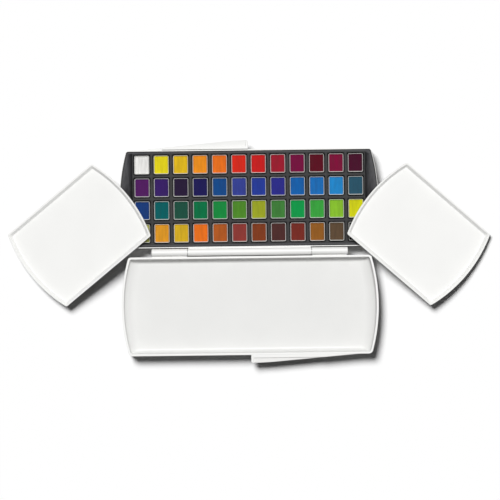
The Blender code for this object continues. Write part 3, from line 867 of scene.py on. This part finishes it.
def rounded_rectangle(width, length, radius, side_steps=1):
    """Closed outline about the origin with four round corners and divided sides."""
    x, y = width / 2 - radius, length / 2 - radius
    arcs = []
    for i, centre in enumerate(((x, -y), (x, y), (-x, y), (-x, -y))):
        start = math.pi / 2 * (i - 1)
        arcs.append(arc_points(centre, radius, start, start + math.pi / 2, CORNER_STEPS))
    outline = []
    for i, arc in enumerate(arcs):
        outline += arc
        following = arcs[(i + 1) % 4][0]
        outline += [arc[-1].lerp(following, step / side_steps) for step in range(1, side_steps)]
    return outline


def moved(outline, x, y):
    """The outline carried to a place."""
    return [point + Vector((x, y)) for point in outline]


def slab(name, outlines, low, high):
    """A slab between two heights over a flat outline. Further outlines inside the first are holes."""
    curve = bpy.data.curves.new(name, "CURVE")
    curve.dimensions = "2D"
    curve.fill_mode = "BOTH"
    curve.extrude = (high - low) / 2
    for outline in outlines:
        spline = curve.splines.new("POLY")
        spline.points.add(len(outline) - 1)
        for point, (x, y) in zip(spline.points, outline):
            point.co = (x, y, 0, 1)
        spline.use_cyclic_u = True
    drawn = bpy.data.objects.new(name, curve)
    scene.collection.objects.link(drawn)
    bpy.context.view_layer.update()
    mesh = bpy.data.meshes.new_from_object(drawn.evaluated_get(bpy.context.evaluated_depsgraph_get()))
    while mesh.uv_layers:
        mesh.uv_layers.remove(mesh.uv_layers[0])
    bm = bmesh.new()
    bm.from_mesh(mesh)
    bmesh.ops.translate(bm, vec=(0, 0, (low + high) / 2), verts=bm.verts)
    bmesh.ops.remove_doubles(bm, verts=bm.verts, dist=WELD_DISTANCE)
    bpy.data.objects.remove(drawn)
    bpy.data.curves.remove(curve)
    bpy.data.meshes.remove(mesh)
    return new_object(name, bm)


print("A round corner of a well or a cup has", CORNER_STEPS, "steps")

# %% [markdown]
# ## The black tray
#
# The tray is a thin plate that fills the rim of the base, with a raised field of ribs round 48 wells. One
# filled curve draws the whole rib grid, and a Bevel rounds all its edges at once. The wells come from the
# boxes of the pans, each a little wider than its pan. Their black floors, and a low lip round the plate,
# leave the dark lines that show round every cup and round the tray.

# %% Make the tray
WELL_CLEARANCE = 0.9 * MM
WELL_CORNER = 1.8 * MM
FIELD_RIM = 0.9 * MM
FIELD_CORNER = 0.6 * MM
WELL_FLOOR = 0.2 * MM
FLOOR_LAP = 0.08 * MM
SEAT_GAP = 0.02 * MM
LIP_THICKNESS = 0.4 * MM
LIP_LAP = 0.4 * MM
TRAY_EDGE_ROUND = 0.2 * MM
RIB_ROUND = 0.35 * MM

pan_nodes = [name for name in frame["nodes"] if name.startswith("half_pan_")]
pan_boxes = {name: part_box(name) for name in pan_nodes}
pan_low, pan_high = pan_boxes[pan_nodes[0]]
pan_width = pan_high.x - pan_low.x
pan_length = pan_high.y - pan_low.y
pan_height = pan_high.z - pan_low.z

well_outline = rounded_rectangle(pan_width + 2 * WELL_CLEARANCE, pan_length + 2 * WELL_CLEARANCE, WELL_CORNER)
wells = []
for low, high in pan_boxes.values():
    wells.append(moved(well_outline, (low.x + high.x) / 2, (low.y + high.y) / 2))
field_margin = WELL_CLEARANCE + FIELD_RIM
field_length = 2 * (max(high.x for low, high in pan_boxes.values()) + field_margin)
field_back = min(low.y for low, high in pan_boxes.values()) - field_margin
field_front = max(high.y for low, high in pan_boxes.values()) + field_margin
field = rounded_rectangle(field_length, field_front - field_back, FIELD_CORNER)
field = moved(field, 0, (field_back + field_front) / 2)
hole = rounded_rectangle(field_length - FIELD_RIM, field_front - field_back - FIELD_RIM, FIELD_CORNER)
hole = moved(hole, 0, (field_back + field_front) / 2)

plate_outline = moved(inset_outline(tray_sizes, LIP_LAP), 0, tray_middle)
lip_outline = moved(inset_outline(tray_sizes, SEAT_GAP - TRAY_GAP), 0, tray_middle)
plate_bottom = plate_top - PLATE_THICKNESS
tray = slab("paint_tray", [plate_outline, hole], plate_bottom + LIP_THICKNESS / 2, plate_top)
soften(tray, TRAY_EDGE_ROUND, EDGE_STEPS)
lip = slab("tray_lip", [lip_outline, hole], plate_bottom, plate_bottom + LIP_THICKNESS)
ribs = slab("rib_grid", [field] + wells, tray_low.z - FLOOR_LAP, tray_high.z)
soften(ribs, RIB_ROUND, EDGE_STEPS)
floors = slab("well_floors", [field], tray_low.z - WELL_FLOOR, tray_low.z - SEAT_GAP)
combine(tray, "UNION", [lip, ribs, floors])
print(f"The rib grid has {len(wells)} wells of {(pan_width + 2 * WELL_CLEARANCE) / MM:.1f} mm")

# %% [markdown]
# ## Black grained plastic
#
# The tray isn't quite black. It is a charcoal plastic with a fine grain that runs front to back, so its
# noise is stretched across X into short lines. The grain catches the light as a faint streaky sheen. Its
# colour goes by the height too, with painted shade: darker below the plate, down in the gaps between the
# cups, and darker again above it, on the ribs, so that the plain ends of the tray look brightest.

# %% Finish the tray
TRAY_GRAIN = 0.03 * MM
TRAY_ROUGHNESS = 0.5
TRAY_ROUGHNESS_DRIFT = 0.08
TRAY_SPECULAR = 0.22
GRAIN_WIDTH = 1.2 * MM
GRAIN_STRETCH = (1, 0.18, 1)
DARK_GRAIN_SHARE = 1.4
PALE_GRAIN_SHARE = 2.7
# Depths and share of the painted shade in the gaps below the plate.
PAINTED_SHADE_START_DEPTH = 0.2 * MM
PAINTED_SHADE_FULL_DEPTH = 0.8 * MM
PAINTED_GAP_SHADE_SHARE = 0.2
# Share of the painted shade on the ribs between the cups.
PAINTED_RIB_SHADE_SHARE = 0.2

charcoal = slot_colours["tray_plastic"]
dark_grain, pale_grain = shaded(charcoal, DARK_GRAIN_SHARE), shaded(charcoal, PALE_GRAIN_SHARE)
smoothest, roughest = TRAY_ROUGHNESS - TRAY_ROUGHNESS_DRIFT, TRAY_ROUGHNESS + TRAY_ROUGHNESS_DRIFT
tray_black, shader = new_finish("tray_black", charcoal, TRAY_ROUGHNESS, specular=TRAY_SPECULAR)
streaks = add_noise(tray_black, GRAIN_WIDTH, detail=4, stretch=GRAIN_STRETCH)
drive_colour(tray_black, streaks, shader.inputs["Base Color"], dark_grain, pale_grain)
drive_range(tray_black, streaks, shader.inputs["Roughness"], smoothest, roughest)
# Painted shade: darker below the plate, in the gaps beside the cups.
painted_gap_shade_zone = (plate_top - PAINTED_SHADE_FULL_DEPTH, plate_top - PAINTED_SHADE_START_DEPTH)
# Painted shade: darker on the ribs between the cups, above the plate.
painted_rib_shade_zone = (plate_top, tray_high.z)
scale_colour(tray_black, shader, by_height(tray_black, painted_gap_shade_zone, (PAINTED_GAP_SHADE_SHARE, 1)))
scale_colour(tray_black, shader, by_height(tray_black, painted_rib_shade_zone, (1, PAINTED_RIB_SHADE_SHARE)))
add_bump(tray_black, shader, streaks, TRAY_GRAIN)
dress(tray, tray_black, "tray_plastic", "base", "pan_tray")

# %% [markdown]
# ## The cups
#
# A half pan is a small white cup, a little narrower at its foot so that it drops into its well. Inside its
# narrow lip the wall slopes down to the paint, so the side across from the light shines and the near side
# is in shade. It has a little play in its place, which draws the dark line round it. All 48 are the same, so
# one mesh serves them all, which is much lighter than 48 meshes: each object only has a place of its own.
# The loft is the same as for the case, over a rounded rectangle.

# %% Make the cups
PAN_PLAY = 0.35 * MM
PAN_LIP = 0.15 * MM
PAN_WALL = 0.75 * MM
PAN_TAPER = 0.5 * MM
PAN_CORNER = 1.3 * MM
PAN_FLOOR = 1 * MM
PAN_FOOT_ROUND = 0.6 * MM
PAN_FILLET = 0.8 * MM
PAN_RIM_ROUND = 0.1 * MM
PAINT_DROP = 1.5 * MM
LEAST_CORNER = 0.45 * MM

cup_width = pan_width - 2 * PAN_PLAY
cup_length = pan_length - 2 * PAN_PLAY


def pan_rings(section, side_steps=1):
    """Rings of a rounded rectangle, one for each inset and height of a section."""
    rings = []
    for inset, height in section:
        radius = max(PAN_CORNER - inset, LEAST_CORNER)
        outline = rounded_rectangle(cup_width - 2 * inset, cup_length - 2 * inset, radius, side_steps)
        rings.append([(x, y, height) for x, y in outline])
    return rings


foot = quarter(PAN_TAPER + PAN_FOOT_ROUND, PAN_FOOT_ROUND, PAN_FOOT_ROUND, -90, -180)
rim = quarter(PAN_RIM_ROUND, pan_height - PAN_RIM_ROUND, PAN_RIM_ROUND, 180, 90)
lip = [(PAN_LIP, pan_height), (PAN_WALL, pan_height - PAINT_DROP)]
cavity = quarter(PAN_WALL + PAN_FILLET, PAN_FLOOR + PAN_FILLET, PAN_FILLET, 180, 270)
cup_pattern = loft("cup_pattern", pan_rings(foot + rim + lip + cavity))
cup_mesh = cup_pattern.data
bpy.data.objects.remove(cup_pattern)

for name, (low, high) in pan_boxes.items():
    cup = bpy.data.objects.new(name.replace("half_pan", "cup"), cup_mesh)
    cup.location = ((low.x + high.x) / 2, (low.y + high.y) / 2, low.z)
    scene.collection.objects.link(cup)
    dress(cup, pan_white, "pan_plastic", "base", name)

# %% [markdown]
# ## The cakes of paint
#
# Paint is poured in and dries. It clings to the wall of the cup and sinks in the middle, and no two cakes
# dry alike. The rings of the loft draw the edge that clings, and a smooth noise with another offset for each
# cake then lifts and lowers the points of its top by a fraction of a millimetre.

# %% Shape a cake of paint
CAKE_GAP = 0.02 * MM
CAKE_SINK = 0.45 * MM
CAKE_SIDE_STEPS = 8
CLING_REACH = 0.9 * MM
CAKE_INSETS = [0.15 * MM, 0.35 * MM, 0.6 * MM, 0.9 * MM, 1.4 * MM, 2.2 * MM, 3.2 * MM, 4.4 * MM, 5.6 * MM]
LUMP_SIZE = 6 * MM
LUMP_HEIGHT = 0.16 * MM


def cake_rings(offset):
    """Rings of one cake, from its underside up its wall and in over its uneven top."""
    wall = PAN_WALL + CAKE_GAP
    edge_height = pan_height - PAINT_DROP
    underside = PAN_FLOOR + PAN_FILLET
    section = [(wall + PAN_FILLET, underside), (wall, underside + PAN_FILLET), (wall, edge_height)]
    for inset in CAKE_INSETS:
        clinging = max(1 - inset / CLING_REACH, 0)
        section.append((wall + inset, edge_height - CAKE_SINK * (1 - clinging**2)))
    rings = pan_rings(section, CAKE_SIDE_STEPS)
    for ring, inset in zip(rings[3:], CAKE_INSETS):
        freedom = min(inset / CLING_REACH, 1)
        for i, (x, y, height) in enumerate(ring):
            lump = noise.noise(Vector((x, y, offset)) / LUMP_SIZE)
            ring[i] = (x, y, height + freedom * LUMP_HEIGHT * lump)
    return rings


print("A cake is drawn with", len(cake_rings(0)), "rings")

# %% [markdown]
# ## Dry paint
#
# A dry cake is nearly matt, but its binder gives it a slight sheen that comes and goes. Strokes of a damp
# brush leave faint streaks from front to back, and the pigment is a touch darker where it lies thicker. All
# 48 finishes are made alike by one function from the colour that the frame names for each paint, with the
# textures shifted so that the streaks differ from cup to cup.

# %% Finish and place the cakes
STROKE_SIZE = 5 * MM
STROKE_DEPTH = 0.03 * MM
STROKE_STRETCH = (2.2, 0.35, 1)
THICK_SHARE = 0.77
THIN_SHARE = 0.99
PAINT_ROUGHNESS = 0.55
PAINT_ROUGHNESS_DRIFT = 0.1
PAINT_SPECULAR = 0.04
PIGMENT_SIZE = 0.3 * MM
PIGMENT_DEPTH = 0.01 * MM
CAKE_SPACING = 37 * MM


def dry_paint(name, colour, offset):
    """A cake's finish, streaked and faintly uneven."""
    thick, thin = shaded(colour, THICK_SHARE), shaded(colour, THIN_SHARE)
    glossy, matt = PAINT_ROUGHNESS - PAINT_ROUGHNESS_DRIFT, PAINT_ROUGHNESS + PAINT_ROUGHNESS_DRIFT
    shift = (offset, offset, 0)
    finish, shader = new_finish(name, colour, PAINT_ROUGHNESS, specular=PAINT_SPECULAR)
    strokes = add_noise(finish, STROKE_SIZE, detail=3, stretch=STROKE_STRETCH, offset=shift)
    drive_colour(finish, strokes, shader.inputs["Base Color"], thick, thin)
    drive_range(finish, strokes, shader.inputs["Roughness"], glossy, matt)
    under = add_bump(finish, shader, strokes, STROKE_DEPTH)
    add_bump(finish, shader, add_noise(finish, PIGMENT_SIZE, detail=3), PIGMENT_DEPTH, under)
    return finish


for i, (name, (low, high)) in enumerate(pan_boxes.items()):
    paint = name.replace("half_pan", "paint")
    offset = i * CAKE_SPACING
    cake = loft(name.replace("half_pan", "cake"), cake_rings(offset))
    cake.location = ((low.x + high.x) / 2, (low.y + high.y) / 2, low.z)
    dress(cake, dry_paint(paint, slot_colours[paint], offset), paint, "base", name)

# %% [markdown]
# ## The mixing palettes
#
# The two palettes are loose and lean on the ends of the base, so neither their middle nor their slope is a
# round number. Their place is found from the solid itself: the directions in which its points spread most
# are its length, its depth and its height, and NumPy's singular value decomposition gives the three. The
# palette is drawn flat about the origin, and one matrix then carries it to its place. It is a thin dish
# whose inner wall leans well back, so that a brush can sweep up every drop, and so its rim looks narrow.

# %% Find how the palettes lie, and make them
PALETTE_BOW_RADIUS = 138.3 * MM
PALETTE_CORNER = 2.2 * MM
PALETTE_WALL = 1.6 * MM
PALETTE_EDGE_ROUND = 3.4 * MM
PALETTE_RIM_ROUND = 0.3 * MM
PALETTE_FILLET = 1 * MM
PALETTE_LEAN = 35
PLACE_DIGITS = 7


def lie_of(node):
    """Size of a tilted piece, and the matrix from its own axes, whose origin is under its middle."""
    places = {tuple(round(c, PLACE_DIGITS) for c in v.co) for v in frame["nodes"][node].data.vertices}
    points = np.array(sorted(places))
    centre = points.mean(axis=0)
    along, _, up = np.linalg.svd(points - centre, full_matrices=False)[2]
    along = along * np.sign(along[0])
    up = up * np.sign(up[2])
    axes = np.array((along, np.cross(up, along), up))
    spread = (points - centre) @ axes.T
    low, high = spread.min(axis=0), spread.max(axis=0)
    origin = centre + np.array(((low[0] + high[0]) / 2, (low[1] + high[1]) / 2, low[2])) @ axes
    return high - low, Matrix.Translation(origin) @ Matrix(axes.T.tolist()).to_4x4()


for side in ("left", "right"):
    (length, depth, height), lie = lie_of("palette_" + side)
    sizes = (length, depth, PALETTE_BOW_RADIUS, PALETTE_CORNER, PALETTE_CORNER)
    section = outer_section(0, height, PALETTE_EDGE_ROUND, PALETTE_RIM_ROUND)
    section += inner_section(
        PALETTE_WALL, PALETTE_WALL, height, PALETTE_FILLET, PALETTE_RIM_ROUND, PALETTE_LEAN
    )
    palette = loft("mixing_palette_" + side, rings_of(sizes, section))
    palette.data.transform(lie)
    dress(palette, palette_white, "palette_plastic", "palette_" + side, "palette_" + side)
    print(f"It measures {length / MM:.1f} by {depth / MM:.1f} by {height / MM:.1f} mm")
